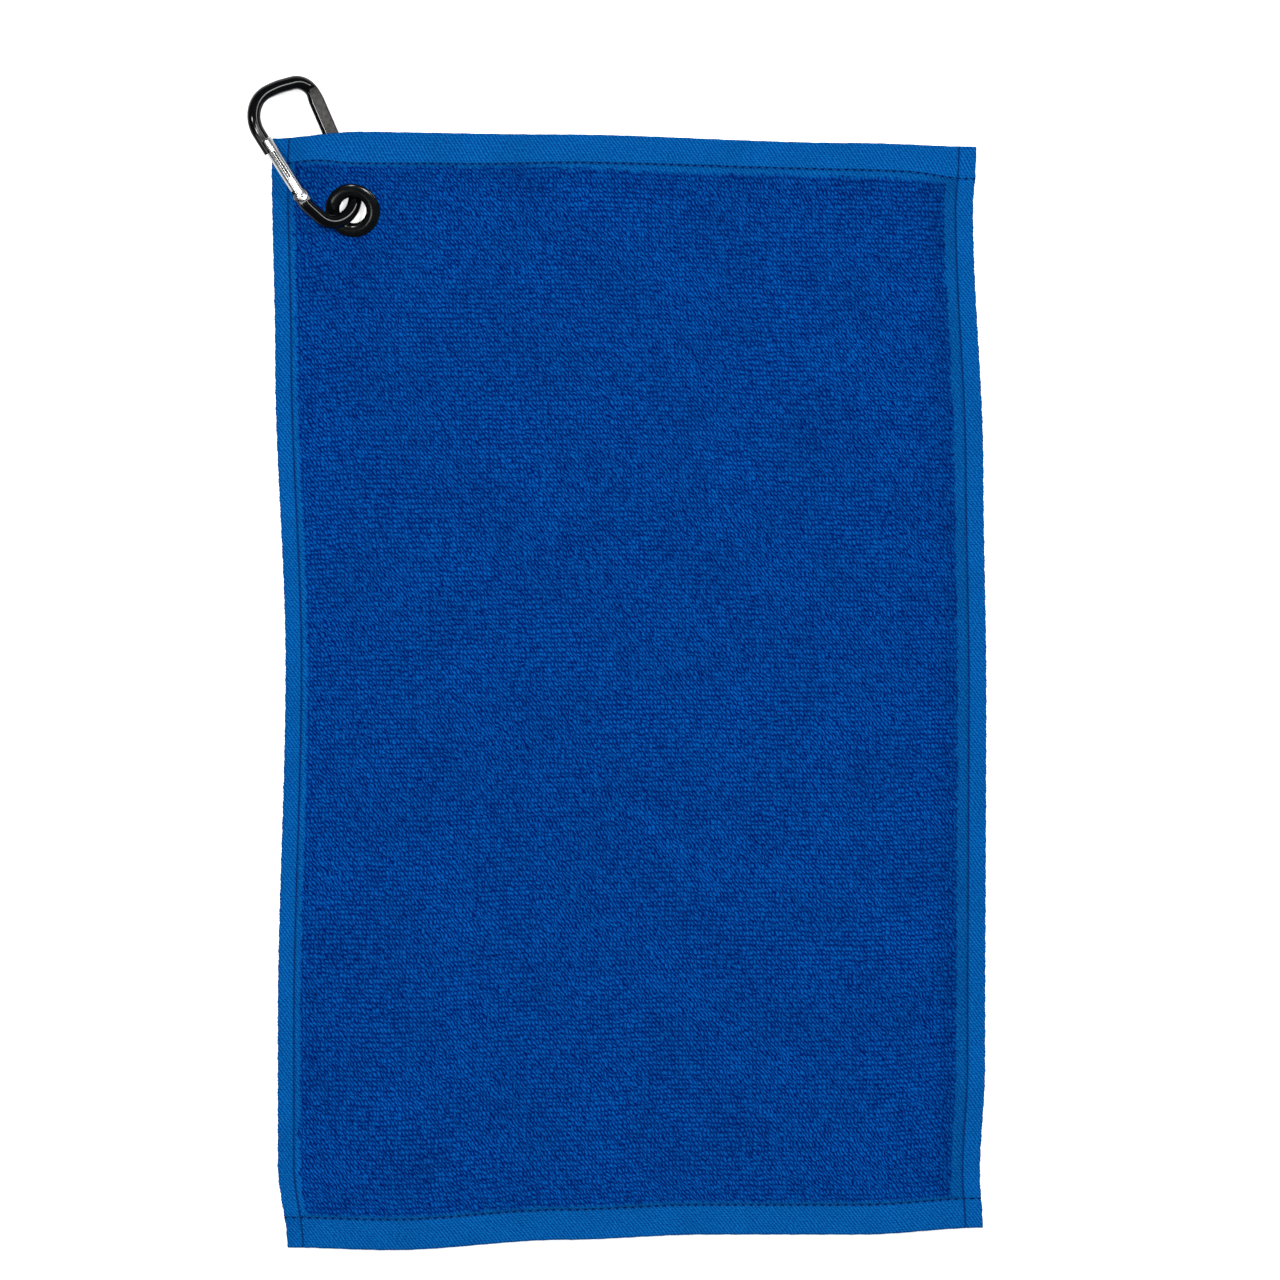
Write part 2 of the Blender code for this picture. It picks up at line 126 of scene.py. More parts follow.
class Shader:
    def __init__(self, name, **constants):
        self.material = bpy.data.materials.new(name)
        self.material.use_nodes = True
        self.tree = self.material.node_tree
        self.surface = self.tree.nodes["Principled BSDF"]
        for socket, value in constants.items():
            self.surface.inputs[socket.replace("_", " ")].default_value = value

    def node(self, kind, settings=None, inputs=None, output=0):
        made = self.tree.nodes.new("ShaderNode" + kind)
        for name, value in (settings or {}).items():
            if name == "stops":
                self.setStops(made.color_ramp, value)
            else:
                setattr(made, name, value)
        for socket, value in (inputs or {}).items():
            self.feed(made.inputs[socket], value)
        return Wire(self, made.outputs[output])

    def setStops(self, ramp, stops):
        while len(ramp.elements) < len(stops):
            ramp.elements.new(1.0)
        for element, (place, color) in zip(ramp.elements, stops):
            element.position = place
            element.color = (*color, 1.0)

    def feed(self, socket, value):
        if isinstance(value, Wire):
            self.tree.links.new(value.socket, socket)
        elif hasattr(value, "__len__") and len(value) == 3 and socket.type == "RGBA":
            socket.default_value = (*value, 1.0)
        else:
            socket.default_value = value

    def blend(self, factor, first, second):
        return self.node("Mix", {"data_type": "RGBA"}, {0: factor, 6: first, 7: second}, 2)

    def scaled(self, color, amount):
        # a colour made lighter or darker by a number
        return self.node("VectorMath", {"operation": "SCALE"}, {0: color, 3: amount})

    def object(self):
        return self.node("TexCoord", output=3)

    def cloth(self):
        # places on the flat cloth, in metres
        return self.node("UVMap", {"uv_map": "cloth"})

    def parts(self, vector):
        return [self.node("SeparateXYZ", {}, {0: vector}, n) for n in range(3)]

    def stored(self, name):
        return self.node("Attribute", {"attribute_name": name}, output=2)

    def noise(self, vector, scale, detail=2.0, roughness=0.5):
        return self.node("TexNoise", {}, {"Vector": vector, "Scale": scale, "Detail": detail,
                                          "Roughness": roughness})

    def bump(self, height, distance, strength=1.0):
        return self.node("Bump", {}, {"Height": height, "Distance": distance, "Strength": strength})

    def paint(self, **values):
        for socket, value in values.items():
            self.feed(self.surface.inputs[socket.replace("_", " ")], value)
        return self.material


# The cloth: its flat size, and how it lies

cloth = {
    "width": 406.4 * mm,
    "length": 635.0 * mm,
    "pileThickness": 2.8 * mm,
    "hemThickness": 2.2 * mm,
    "hemTop": 16.0 * mm,
    "hemBottom": 17.2 * mm,
    "hemLeft": 9.3 * mm,
    "hemRight": 10.2 * mm,
    "seamHalf": 0.6 * mm,
    # how far each edge of the relaxed cloth wanders, in mm, against the place along it from -1 to 1
    "topEdge": ((-1.0, 2.0), (-0.75, 6.0), (-0.2, 4.5), (0.65, -0.5), (1.0, -2.5)),
    "bottomEdge": ((-1.0, -5.5), (-0.7, -7.0), (-0.2, -1.0), (0.2, 2.0), (0.65, 2.0), (1.0, 6.0)),
    "leftEdge": ((-1.0, 4.0), (-0.85, -1.5), (-0.6, -1.5), (0.05, 3.0), (0.6, -3.0), (0.95, -5.0),
                 (1.0, -4.2)),
    "rightEdge": ((-1.0, 0.6), (-0.9, -1.0), (-0.7, 2.0), (0.0, 2.7), (0.4, 1.0), (0.88, -5.0),
                  (1.0, -3.0)),
    # the same for the top seam, which wasn't sewn quite straight, and how far from it the cloth shifts
    "topSeam": ((-1.0, 1.5), (-0.9, 1.5), (-0.75, -2.4), (-0.5, -1.8), (-0.1, -0.2), (0.5, 0.6), (0.8, 0.0),
                (0.98, -3.2)),
    "seamReach": 9.0 * mm,
    "stitchPitch": 4.6 * mm,
}
halfWidth = cloth["width"] / 2
halfLength = cloth["length"] / 2
seamAt = {
    "left": -halfWidth + cloth["hemLeft"],
    "right": halfWidth - cloth["hemRight"],
    "bottom": -halfLength + cloth["hemBottom"],
    "top": halfLength - cloth["hemTop"],
}

# How the grommet and the carabiner's spine lift the cloth
lift = {
    "centre": Vector(joints["carabiner_swivel"]["pos_m"]),
    "heading": math.radians(23.5),
    "tilt": math.radians(19.0),
    "uphill": math.radians(37.0),
    "clamped": 1.9 * mm,
    "flat": 21.0 * mm,
    "blend": 50.0 * mm,
    "reach": 18.0 * mm,
    "spine": 6.5 * mm,
    "ridge": 7.4 * mm,
    "ridgeFall": 28.0 * mm,
    "ridgeSpread": math.radians(10.5),
    "ridgeLean": math.radians(4.5),
    "ridgeHalf": 5.5 * mm,
    "ridgeStart": -25.0 * mm,
    "touch": 0.3 * mm,
    "clampEdge": 6 * mm,
}


def alongEdge(points, place):
    wander = np.full(place.shape, points[0][1])
    for (start, low), (end, high) in zip(points, points[1:]):
        wander += (high - low) * between(start, end, place)
    return wander * mm


def layFlat(x, y):
    # where a place on the straight cut cloth is on the relaxed cloth, seen from above
    across = x / halfWidth
    along = y / halfLength
    left = -halfWidth + alongEdge(cloth["leftEdge"], along)
    right = halfWidth + alongEdge(cloth["rightEdge"], along)
    bottom = -halfLength + alongEdge(cloth["bottomEdge"], across)
    top = halfLength + alongEdge(cloth["topEdge"], across)
    shift = alongEdge(cloth["topSeam"], across) * hump(y - seamAt["top"], cloth["seamReach"])
    return left + (right - left) * (across + 1) / 2, bottom + (top - bottom) * (along + 1) / 2 + shift


def backHeight(x, y):
    # the cloth's back: on the floor, up over the spine, tilted with the grommet
    dx = x - lift["centre"].x
    dy = y - lift["centre"].y
    turn = lift["heading"]
    across = dx * math.cos(turn) + dy * math.sin(turn)
    along = dy * math.cos(turn) - dx * math.sin(turn)
    near = 1 - between(lift["flat"], lift["blend"], np.hypot(dx, dy))
    reach = np.maximum(0.0, along)
    beside = np.abs(across - lift["spine"] - reach * math.tan(lift["ridgeLean"]))
    beside = beside - lift["ridgeHalf"] - reach * math.tan(lift["ridgeSpread"])
    ridge = lift["ridge"] * (1 - smoothStep(beside / lift["ridgeFall"]))
    ridge = ridge * smoothStep(1 - along / lift["ridgeStart"])
    centre = lift["centre"].z - lift["clamped"] / 2 / math.cos(lift["tilt"])
    uphill = across * math.cos(lift["uphill"]) + along * math.sin(lift["uphill"])
    uphill = np.clip(uphill, -lift["reach"] * 1.2, lift["reach"])
    height = centre * near + ridge * (1 - near) + math.tan(lift["tilt"]) * uphill * near
    touch = lift["touch"]
    soft = np.maximum(0.0, height + touch) ** 2 / (4 * touch)
    return np.where(height < touch, soft, height)


# The cloth isn't pressed: long, low waves and one faint crease. Heights are in mm
relaxed = {
    "stillRound": (60 * mm, 110 * mm),
    "middle": 0.8,
    "longWaves": 0.50,
    "shortWaves": 0.28,
    "creaseAt": (-0.122, 0.042),
    "creaseWay": (0.8, 0.6),
    "creaseDepth": 0.7,
    "creaseSize": (4 * mm, 16 * mm),
}


def ripple(x, y):
    away = between(*relaxed["stillRound"], np.hypot(x - lift["centre"].x, y - lift["centre"].y))
    waves = relaxed["longWaves"] * np.sin(x * 41 + 1.3 * np.sin(y * 17 + 0.6))
    waves = waves * np.sin(y * 33 + 1.7 * np.sin(x * 19 + 2.1))
    waves += relaxed["shortWaves"] * np.sin(x * 74 - y * 38 + 1.1) * np.sin(y * 61 + x * 23 + 0.4)
    dx = x - relaxed["creaseAt"][0]
    dy = y - relaxed["creaseAt"][1]
    cosine, sine = relaxed["creaseWay"]
    wide, long = relaxed["creaseSize"]
    crease = -relaxed["creaseDepth"] * hump(dx * cosine + dy * sine, wide)
    crease = crease * hump(dy * cosine - dx * sine, long)
    return (relaxed["middle"] + waves + crease) * mm * away


def layDown(mesh, wobble=None):
    # takes a piece made flat, z above the cloth's back, to where it lies; the flat places stay as a UV map
    count = len(mesh.vertices)
    place = np.zeros(count * 3)
    mesh.vertices.foreach_get("co", place)
    place = place.reshape(-1, 3)
    corners = np.zeros(len(mesh.loops), np.int32)
    mesh.loops.foreach_get("vertex_index", corners)
    flatMap = mesh.uv_layers.new(name="cloth")
    flatMap.data.foreach_set("uv", place[corners, :2].ravel())
    if wobble is not None:
        place = place + wobble
    x, y = layFlat(place[:, 0], place[:, 1])
    away = np.hypot(x - lift["centre"].x, y - lift["centre"].y)
    clamped = lift["clamped"] / math.cos(lift["tilt"]) / cloth["pileThickness"]
    thickness = clamped + (1 - clamped) * between(lift["flat"], lift["flat"] + lift["clampEdge"], away)
    z = backHeight(x, y) + ripple(x, y) + place[:, 2] * thickness
    mesh.vertices.foreach_set("co", np.stack([x, y, z], 1).ravel())
    mesh.update()


def placesOf(mesh):
    place = np.zeros(len(mesh.vertices) * 3)
    mesh.vertices.foreach_get("co", place)
    return place.reshape(-1, 3)


def store(mesh, name, values):
    mesh.attributes.new(name, "FLOAT", "POINT").data.foreach_set("value", values.astype(np.float32))


def toMesh(name, bm, finish, sharp=40):
    bmesh.ops.recalc_face_normals(bm, faces=bm.faces[:])
    mesh = bpy.data.meshes.new(name)
    bm.to_mesh(mesh)
    bm.free()
    mesh.materials.append(finish)
    mesh.shade_smooth()
    mesh.set_sharp_from_angle(angle=math.radians(sharp))
    return mesh


def newObject(name, data):
    made = bpy.data.objects.new(name, data)
    bpy.context.scene.collection.objects.link(made)
    return made


def addPiece(name, mesh, body, slot, *nodes):
    piece = newObject(name, mesh)
    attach(piece, body)
    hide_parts(*nodes)
    return piece


def vertsOf(made):
    return [item for item in made["geom"] if isinstance(item, bmesh.types.BMVert)]


def roundOff(bm, edges, width, segments):
    bmesh.ops.bevel(bm, geom=edges, offset=width, offset_type="OFFSET", segments=segments, profile=0.5,
                    affect="EDGES", material=-1)


# Terry: one low tuft of geometry for each loop of the pile

terry = {
    "loopsAcross": 182,
    "loopsAlong": 216,
    "valley": 2.0 * mm,
    "crest": 2.85 * mm,
    "woven": 1.9 * mm,
    "bareLeft": 2.4 * mm,
    "bareRight": 5.6 * mm,
    "bareTop": 3.0 * mm,
    "bareBottom": 0.8 * mm,
    "jitter": 0.24 * mm,
    "lean": 0.45 * mm,
    "mostWobble": 0.8 * mm,
    "tipSpread": 0.16 * mm,
    # where the pile is bare: how far a tuft still stands, how soft and how ragged the pile's edge is
    "bareTuft": 0.12 * mm,
    "bareBlend": 2 * mm,
    "ragged": 0.5 * mm,
    "grommetHole": 11.8 * mm,
    "seed": 41,
    # pile colours, from the painted shade in the gaps between loops (navy) to the painted light on their tips
    # (tip)
    "navy": (0.0002, 0.0046, 0.058),
    "royal": (0.0003, 0.0184, 0.118),
    "tip": (0.0005, 0.0545, 0.226),
    # the scales of the noises in the pile, and how much each of them and each loop counts in the colour
    "patchScale": 17.0,
    "cloudScale": 24.0,
    "fibreScale": 720.0,
    "fibre": 1.3,
    "ownTone": 0.32,
}


def clothShader(name):
    shader = Shader(name, Roughness=0.92, Specular_IOR_Level=0.01, Sheen_Weight=0.04, Sheen_Roughness=0.5)
    shader.surface.inputs["Sheen Tint"].default_value = (0.03, 0.30, 1.0, 1.0)
    return shader


def terryFinish():
    # the loops stand in rows and columns that wander a little, and join up in slanting lines
    shader = clothShader("terryPile")
    flat = shader.cloth()
    x, y, _ = shader.parts(flat)
    across = (x - terryLow.x) / terryPitch.x
    along = (y - terryLow.y) / terryPitch.y
    cell = shader.node("CombineXYZ", {}, {0: across.floor(), 1: along.floor()})
    own = shader.node("TexWhiteNoise", {"noise_dimensions": "2D"}, {0: cell})
    across = across + (shader.noise(flat, 190.0, 2.0) - 0.5) * 1.5
    along = along + (shader.noise(flat, 140.0, 2.0) - 0.5) * 1.3
    columns = across.wave() - 0.5
    rows = along.wave() - 0.5
    slant = (across + along + 0.5).wave() - 0.5
    patches = shader.noise(flat, terry["patchScale"], 3.0, 0.6).rise(0.3, 0.7)
    clouds = shader.noise(flat, terry["cloudScale"], 4.0, 0.62)
    fibre = shader.noise(shader.object(), terry["fibreScale"], 2.0, 0.7)
    # painted shade and light: the lattice of tufts paints the gaps between loops dark and their tips light;
    # each loop's own tone and the fibre noise are colour the pile has
    tufts = columns * 0.30 + rows * (0.20 + 0.30 * patches) + slant * (0.92 - 0.3 * patches)
    bright = 0.5 + tufts * (0.70 + 0.5 * clouds) + (own - 0.5) * terry["ownTone"]
    bright = bright + (fibre - 0.5) * terry["fibre"]
    pileColor = shader.node("ValToRGB", {"stops": ((0.0, terry["navy"]), (0.5, terry["royal"]),
                                                   (1.0, terry["tip"]))}, {0: bright})
    ragged = shader.stored("pile") + (fibre - 0.5) * 0.9
    color = shader.blend(ragged.rise(0.3, 0.7), weaveColor(shader, flat, x, y), pileColor)
    # painted shade: the pile is darker towards the top and right seams
    edges = 0.76 + 0.16 * (seamAt["right"] - x).rise(6 * mm, 24 * mm)
    edges = edges + 0.08 * (seamAt["top"] - y).rise(2 * mm, 26 * mm)
    color = shader.scaled(color, edges * (0.74 + 0.52 * clouds))
    return shader.paint(Base_Color=color, Normal=shader.bump(fibre * 0.6 + tufts * 0.4, 0.25 * mm, 0.45))


def nearGrommet(bm, stepX, stepY):
    # faces of a grid whose coarse cell is inside the grommet's barrel
    found = []
    for face in bm.faces:
        middle = face.calc_center_median()
        x = terryLow.x + (math.floor((middle.x - terryLow.x) / stepX) + 0.5) * stepX
        y = terryLow.y + (math.floor((middle.y - terryLow.y) / stepY) + 0.5) * stepY
        laidX, laidY = layFlat(np.array([x]), np.array([y]))
        away = math.hypot(laidX[0] - lift["centre"].x, laidY[0] - lift["centre"].y)
        if away < terry["grommetHole"]:
            found.append(face)
    return found


def clothGrid(bm, across, along, low, high):
    # a flat grid from its low corner to its high corner
    made = bmesh.ops.create_grid(bm, x_segments=across, y_segments=along, size=1.0)
    size = high - low
    bmesh.ops.scale(bm, vec=(size.x / 2, size.y / 2, 1), verts=made["verts"])
    bmesh.ops.translate(bm, vec=((low.x + high.x) / 2, (low.y + high.y) / 2, 0), verts=made["verts"])
    return made["verts"]


def makeTerry():
    across = terry["loopsAcross"]
    along = terry["loopsAlong"]
    coarse = terryPitch * 2
    bm = bmesh.new()
    # the front: a tuft on every cell. Heights 0, 1 and 2 stand for the back, the valleys and the tips
    clothGrid(bm, across, along, terryLow, terryHigh)
    bmesh.ops.delete(bm, geom=nearGrommet(bm, coarse.x, coarse.y), context="FACES")
    for vert in bm.verts:
        vert.co.z = 1
    rim = [edge for edge in bm.edges if edge.is_boundary]
    tufts = bmesh.ops.poke(bm, faces=bm.faces[:])
    for vert in tufts["verts"]:
        vert.co.z = 2
    for vert in vertsOf(bmesh.ops.extrude_edge_only(bm, edges=rim)):
        vert.co.z = 0
    # the back, half as fine, sewn to the front's rim
    back = bmesh.new()
    clothGrid(back, across // 2, along // 2, terryLow, terryHigh)
    bmesh.ops.delete(back, geom=nearGrommet(back, coarse.x, coarse.y), context="FACES")
    bmesh.ops.subdivide_edges(back, edges=[e for e in back.edges if e.is_boundary], cuts=1)
    backMesh = bpy.data.meshes.new("terryBack")
    back.to_mesh(backMesh)
    back.free()
    bm.from_mesh(backMesh)
    bpy.data.meshes.remove(backMesh)
    bmesh.ops.remove_doubles(bm, verts=bm.verts[:], dist=0.05 * mm)
    mesh = toMesh("terryPanel", bm, terryFinish(), 180)

    place = placesOf(mesh)
    x, y = place[:, 0], place[:, 1]
    level = np.rint(place[:, 2])
    random = np.random.default_rng(terry["seed"])
    chance = random.normal(size=place.shape)
    ragged = terry["ragged"] * random.normal(size=len(place))
    blend = terry["bareBlend"]
    pile = between(terry["bareLeft"], terry["bareLeft"] + blend, x - seamAt["left"] + ragged)
    pile *= between(terry["bareRight"], terry["bareRight"] + blend, seamAt["right"] - x + ragged)
    pile *= between(terry["bareBottom"], terry["bareBottom"] + blend, y - seamAt["bottom"] + ragged)
    # the bare strip under the top seam fades out towards the grommet
    bareTop = terry["bareTop"] * (0.1 + 0.9 * between(-90 * mm, 20 * mm, x))
    pile *= between(0, blend, seamAt["top"] - bareTop - y + ragged)
    front = level > 0.5
    tip = level > 1.5
    edge = np.minimum.reduce([x - terryLow.x, terryHigh.x - x, y - terryLow.y, terryHigh.y - y])
    free = front & (edge > 0.2 * mm)
    # neighbouring loops lean the same way, in patches
    way = 2.2 * np.sin(x * 63 + 1.9 * np.sin(y * 47)) + 2.0 * np.sin(y * 52 + 1.4 * np.sin(x * 39) + 1.0)
    lean = terry["lean"] * (0.6 + 0.25 * np.clip(chance[:, 2], -2, 2))
    wobble = np.zeros(place.shape)
    wobble[:, 0] = free * (terry["jitter"] * chance[:, 0] + tip * pile * lean * np.cos(way - 0.8))
    wobble[:, 1] = free * (terry["jitter"] * chance[:, 1] + tip * pile * lean * np.sin(way - 0.8))
    valley = terry["valley"] + (terry["woven"] - terry["valley"]) * (1 - pile)
    crest = terry["crest"] - terry["tipSpread"] * np.abs(chance[:, 2])
    crest = terry["woven"] + terry["bareTuft"] + (crest - terry["woven"] - terry["bareTuft"]) * pile
    height = np.where(tip, crest, valley) * front
    wobble[:, 2] = height - place[:, 2]
    wobble[:, :2] = np.clip(wobble[:, :2], -terry["mostWobble"], terry["mostWobble"])
    store(mesh, "pile", pile)
    layDown(mesh, wobble)
    return addPiece("terryPanel", mesh, "towel", "terry", "terry_panel")


terryLow = Vector((seamAt["left"] + cloth["seamHalf"], seamAt["bottom"] + cloth["seamHalf"]))
terryHigh = Vector((seamAt["right"] - cloth["seamHalf"], seamAt["top"] - cloth["seamHalf"]))
terryPitch = Vector(((terryHigh.x - terryLow.x) / terry["loopsAcross"],
                     (terryHigh.y - terryLow.y) / terry["loopsAlong"]))


# Hems: the flat-woven border folded over and sewn down

hem = {
    "step": 0.7 * mm,
    "fold": 1.5 * mm,
    "dip": 0.95 * mm,
    "dipWidth": 0.40 * mm,
    "pucker": 0.10 * mm,
    "scallop": 0.16 * mm,
    "puckerReach": 2.4 * mm,
    "cornerGap": 0.02 * mm,
    "seamDrop": 0.35 * mm,
    "crinkle": 0.14 * mm,
    "twill": (2.07 * mm, 2.76 * mm),
    "ribs": 1.4 * mm,
    "grainScale": 760.0,
    "color": (0.0004, 0.0475, 0.184),
    "light": (0.0022, 0.0800, 0.245),
    "dark": (0.0002, 0.0240, 0.132),
    # painted shade in the seams' grooves and needle holes
    "pitShade": (0.0003, 0.0030, 0.042),
}


def weaveColor(shader, flat, x, y):
    # the flat-woven cloth: a fine twill that runs down to the right
    drift = shader.noise(flat, 90.0, 2.0)
    twill = (x / hem["twill"][0] + y / hem["twill"][1] + drift * 1.2).wave() - 0.5
    ribs = (y / hem["ribs"] + drift * 0.5).wave() - 0.5
    grain = shader.noise(flat, hem["grainScale"], 2.0, 0.7) - 0.5
    tone = 0.5 + twill * 0.8 + ribs * 0.3 + grain * 2.2
    return shader.node("ValToRGB", {"stops": ((0.0, hem["dark"]), (0.5, hem["color"]),
                                              (1.0, hem["light"]))}, {0: tone})


def hemFinish():
    shader = clothShader("hemTwill")
    flat = shader.cloth()
    x, y, _ = shader.parts(flat)
    weave = weaveColor(shader, flat, x, y)
    clouds = shader.noise(flat, 42.0, 3.0, 0.6)
    color = shader.scaled(weave, 0.80 + 0.4 * clouds)
    endSeam = shader.stored("endSeam")
    sideSeam = shader.stored("sideSeam")
    # painted shade: the end seams darken, most at each needle hole, and the side seams darken along their
    # groove
    pitShade = 1 - (x / cloth["stitchPitch"]).wave()
    dark = endSeam * (0.2 + 1.3 * pitShade.rise(0.45, 0.95))
    dark = dark.larger(sideSeam * 0.7).smaller(1.0)
    color = shader.blend(dark, color, hem["pitShade"])
    relief = shader.node("RGBToBW", {}, {0: weave})
    return shader.paint(Base_Color=color, Normal=shader.bump(relief * 8, 0.16 * mm, 0.8))


def foldRound(away):
    # the rounded outer fold, seen in section
    share = np.clip(away / hem["fold"], 0.0, 1.0)
    return 0.28 + 0.72 * np.sqrt(1 - (1 - share) ** 2)


def hemFace(x, y):
    # height of the hem's face, and how much of it is in an end seam and in a side seam
    sides = np.minimum(x + halfWidth, halfWidth - x)
    ends = np.minimum(y + halfLength, halfLength - y)
    fromLeft, fromRight = x - seamAt["left"], seamAt["right"] - x
    fromBottom, fromTop = y - seamAt["bottom"], seamAt["top"] - y
    dip = hem["dipWidth"]
    near = hem["puckerReach"]
    sideSeam = np.maximum(hump(fromLeft, dip), hump(fromRight, dip))
    endSeam = np.maximum(hump(fromTop, dip), hump(fromBottom, dip))
    height = cloth["hemThickness"] * foldRound(sides) * foldRound(ends)
    inside = np.minimum.reduce([fromLeft, fromRight, fromBottom, fromTop])
    height = height - hem["seamDrop"] * (inside > 0)
    closeness = np.maximum(hump(fromTop, near), hump(fromBottom, near))
    height = height + hem["pucker"] * closeness * np.cos(math.tau * (x / cloth["stitchPitch"] + 0.5))
    crinkle = hem["crinkle"] * np.sin(x * 410 + 2 * np.sin(y * 230))
    height = height + crinkle * np.sin(y * 370 + 2 * np.sin(x * 190))
    return height - hem["dip"] * np.maximum(sideSeam, endSeam), endSeam, sideSeam


def crossLines(width):
    # places across a hem, from its fold to just past its seam: close together at both
    fold = [n * mm for n in (0.0, 0.08, 0.3, 0.7, 1.2)]
    middle = np.linspace(2.1 * mm, width - 1.7 * mm, max(3, round(width / (1.9 * mm))))
    seam = [width + n * mm for n in (-1.0, -0.6, -0.3, 0.0, 0.3, 0.6, 0.9)]
    return [*fold, *middle, *seam]


def evenLines(low, high):
    return list(np.linspace(low, high, round((high - low) / hem["step"])))


def hemStrip(name, node, xLines, yLines, finish):
    bm = bmesh.new()
    columns = len(xLines) - 1
    rows = len(yLines) - 1
    bmesh.ops.create_grid(bm, x_segments=columns, y_segments=rows, size=1.0)
    for vert in bm.verts:
        vert.co.x = xLines[round((vert.co.x + 1) / 2 * columns)]
        vert.co.y = yLines[round((vert.co.y + 1) / 2 * rows)]
    for vert in vertsOf(bmesh.ops.extrude_face_region(bm, geom=bm.faces[:], use_keep_orig=True)):
        vert.co.z = 1
    mesh = toMesh(name, bm, finish, 60)
    place = placesOf(mesh)
    x, y = place[:, 0], place[:, 1]
    height, endSeam, sideSeam = hemFace(x, y)
    front = place[:, 2] > 0.5
    wobble = np.zeros(place.shape)
    wobble[:, 2] = np.where(front, height, 0.0) - place[:, 2]
    # the outline is drawn in a little at every stitch
    wave = hem["scallop"]
    sideEdge = hump(halfWidth - np.abs(x), 2 * mm)
    endEdge = hump(halfLength - np.abs(y), 2 * mm)
    wobble[:, 0] = wave * sideEdge * (np.sin(y * 5200 + 3 * np.sin(y * 811)) + np.sin(y * 610) * 0.8)
    wobble[:, 1] = wave * endEdge * (np.sin(x * 730) * 0.3 + np.sin(x * 391) * 0.3)
    store(mesh, "endSeam", endSeam * front)
    store(mesh, "sideSeam", sideSeam * front)
    layDown(mesh, wobble)
    return addPiece(name, mesh, "towel", "hem_weave", node)


def makeHems():
    finish = hemFinish()
    left = [-halfWidth + line for line in crossLines(cloth["hemLeft"])]
    right = [halfWidth - line for line in reversed(crossLines(cloth["hemRight"]))]
    bottom = [-halfLength + line for line in crossLines(cloth["hemBottom"])]
    top = [halfLength - line for line in reversed(crossLines(cloth["hemTop"]))]
    acrossAll = [*left, *evenLines(left[-1] + hem["step"], right[0] - hem["step"]), *right]
    gap = hem["cornerGap"]
    low = seamAt["bottom"] + cloth["seamHalf"] + gap
    high = seamAt["top"] - cloth["seamHalf"] - gap
    alongPanel = evenLines(low, high)
    return [
        hemStrip("hemTop", "hem_top", acrossAll, top, finish),
        hemStrip("hemBottom", "hem_bottom", acrossAll, bottom, finish),
        hemStrip("hemLeft", "hem_left", left, alongPanel, finish),
        hemStrip("hemRight", "hem_right", right, alongPanel, finish),
    ]


# Stitches: each one arches from hole to hole

stitch = {
    "length": 3.3 * mm,
    "sideLength": 4.3 * mm,
    "thick": 0.75 * mm,
    "height": 1.42 * mm,
    "sideHeight": 1.25 * mm,
    "arch": 0.30 * mm,
    "slack": 0.12 * mm,
    "skew": 0.05,
    "endGap": 2 * mm,
    "color": (0.0006, 0.040, 0.170),
    "sideColor": (0.0003, 0.0095, 0.090),
}


def threadFinish(name, color):
    shader = Shader(name, Roughness=0.62, Specular_IOR_Level=0.08)
    x, y, _ = shader.parts(shader.cloth())
    ply = ((x + y) / (0.55 * mm) + (x - y) / (0.8 * mm)).wave()
    fuzz = shader.noise(shader.object(), 3000.0, 2.0, 0.6)
    shade = shader.scaled(color, 0.65 + 0.4 * ply + 0.4 * (fuzz - 0.5))
    return shader.paint(Base_Color=shade, Normal=shader.bump(ply + fuzz * 0.5, 0.08 * mm, 0.8))


def stitchRow(name, node, side, finish):
    # one row, along x for the end seams and along y for the side seams
    alongX = side in ("top", "bottom")
    length = stitch["length"] if alongX else stitch["sideLength"]
    height = stitch["height"] if alongX else stitch["sideHeight"]
    reach = halfWidth if alongX else halfLength
    pitch = cloth["stitchPitch"]
    count = int((reach - stitch["endGap"]) / pitch)
    random = np.random.default_rng(len(name) * 7)
    turn = Matrix.Identity(4) if alongX else Matrix.Rotation(math.pi / 2, 4, "Z")
    bm = bmesh.new()
    for n in range(-count, count):
        middle = (n + 0.5) * pitch
        slack = random.normal() * stitch["slack"]
        place = (middle, seamAt[side] + slack, height) if alongX else (seamAt[side] + slack, middle, height)
        size = Matrix.Diagonal((length, stitch["thick"], stitch["thick"] * 0.9, 1))
        skew = Matrix.Rotation(random.normal() * stitch["skew"], 4, "Z")
        made = bmesh.ops.create_uvsphere(bm, u_segments=8, v_segments=6, radius=0.5,
                                         matrix=Matrix.Translation(place) @ turn @ skew @ size)
        for vert in made["verts"]:
            away = ((vert.co.x if alongX else vert.co.y) - middle) / (length / 2)
            vert.co.z -= stitch["arch"] * away * away
    mesh = toMesh(name, bm, finish, 180)
    layDown(mesh)
    return addPiece(name, mesh, "towel", "sewing_thread", node)


def makeStitches():
    endThread = threadFinish("threadRoyal", stitch["color"])
    sideThread = threadFinish("threadNavy", stitch["sideColor"])
    return [
        stitchRow("stitchesTop", "seam_thread_top", "top", endThread),
        stitchRow("stitchesBottom", "seam_thread_bottom", "bottom", endThread),
        stitchRow("stitchesLeft", "seam_thread_left", "left", sideThread),
        stitchRow("stitchesRight", "seam_thread_right", "right", sideThread),
    ]


# Grommet: a black plastic eyelet whose barrel is closed over a washer behind

